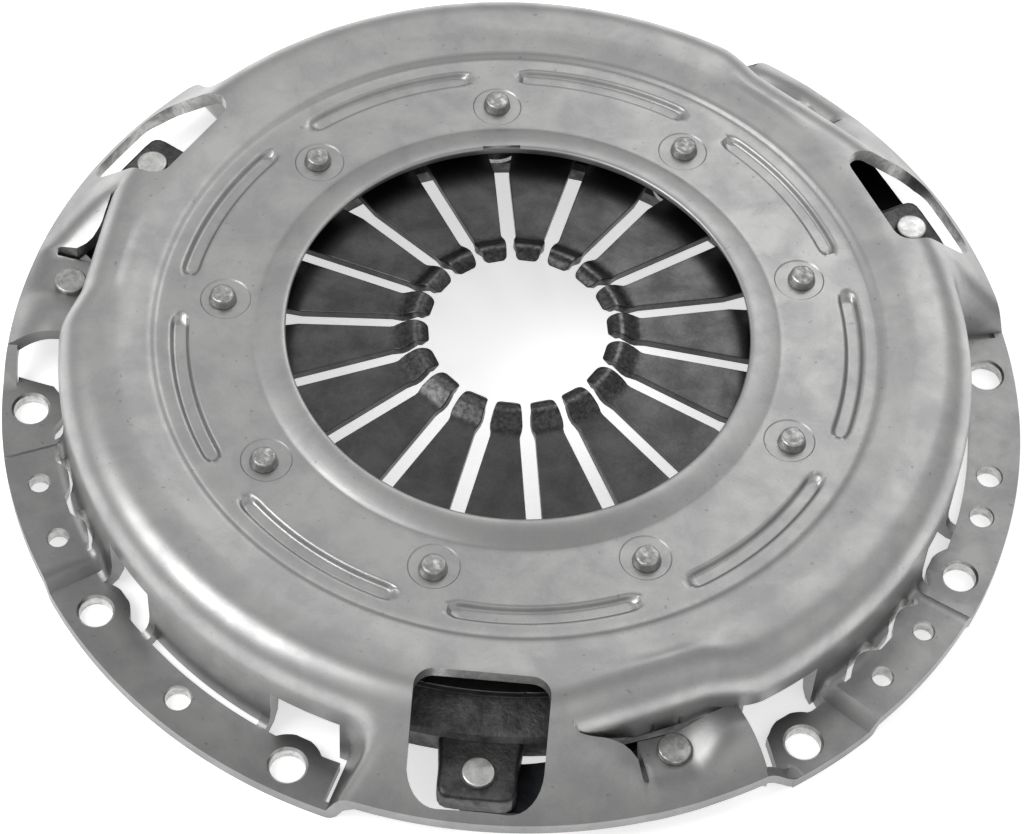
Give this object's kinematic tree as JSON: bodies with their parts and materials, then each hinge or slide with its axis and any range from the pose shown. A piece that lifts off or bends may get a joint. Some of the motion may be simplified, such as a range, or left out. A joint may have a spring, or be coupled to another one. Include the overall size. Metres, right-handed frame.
{
  "type": "clutch pressure plate",
  "caption": "Round clutch cover with a diaphragm spring and a cast pressure plate hung on spring straps; bolts to a flywheel and clamps the friction disc.",
  "frame": {"origin": "centre of the flange face that bolts to the flywheel", "axes": "+Z along the clutch axis from the flywheel face towards the release side; a bolt hole of the flange lies on +X"},
  "size_m": [0.2696, 0.2687, 0.033],
  "materials": {
    "cover_steel": "satin",
    "cast_iron": "rough",
    "spring_steel": "satin",
    "strap_steel": "satin",
    "wire_steel": "satin",
    "rivet_steel": "satin"
  },
  "bodies": {
    "cover": {"cover": "cover_steel", "diaphragm_spring": "spring_steel", "upper_fulcrum_ring": "wire_steel", "lower_fulcrum_ring": "wire_steel", "fulcrum_rivets": "rivet_steel", "strap_a_leaf_1": "strap_steel", "strap_a_leaf_2": "strap_steel", "strap_a_leaf_3": "strap_steel", "strap_b_leaf_1": "strap_steel", "strap_b_leaf_2": "strap_steel", "strap_b_leaf_3": "strap_steel", "strap_c_leaf_1": "strap_steel", "strap_c_leaf_2": "strap_steel", "strap_c_leaf_3": "strap_steel", "cover_strap_rivet_a": "rivet_steel", "cover_strap_rivet_b": "rivet_steel", "cover_strap_rivet_c": "rivet_steel"},
    "plate": {"pressure_plate": "cast_iron", "plate_strap_rivet_a": "rivet_steel", "plate_strap_rivet_b": "rivet_steel", "plate_strap_rivet_c": "rivet_steel"}
  },
  "joints": [
    {"name": "plate_lift", "type": "slide", "parent": "cover", "child": "plate", "axis": [0, 0, 1], "range_m": [0, 0.004], "stiffness_N_per_m": 20000, "springref_m": -0.001, "deforming": ["diaphragm_spring", "strap_a_leaf_1", "strap_a_leaf_2", "strap_a_leaf_3", "strap_b_leaf_1", "strap_b_leaf_2", "strap_b_leaf_3", "strap_c_leaf_1", "strap_c_leaf_2", "strap_c_leaf_3"]}
  ]
}
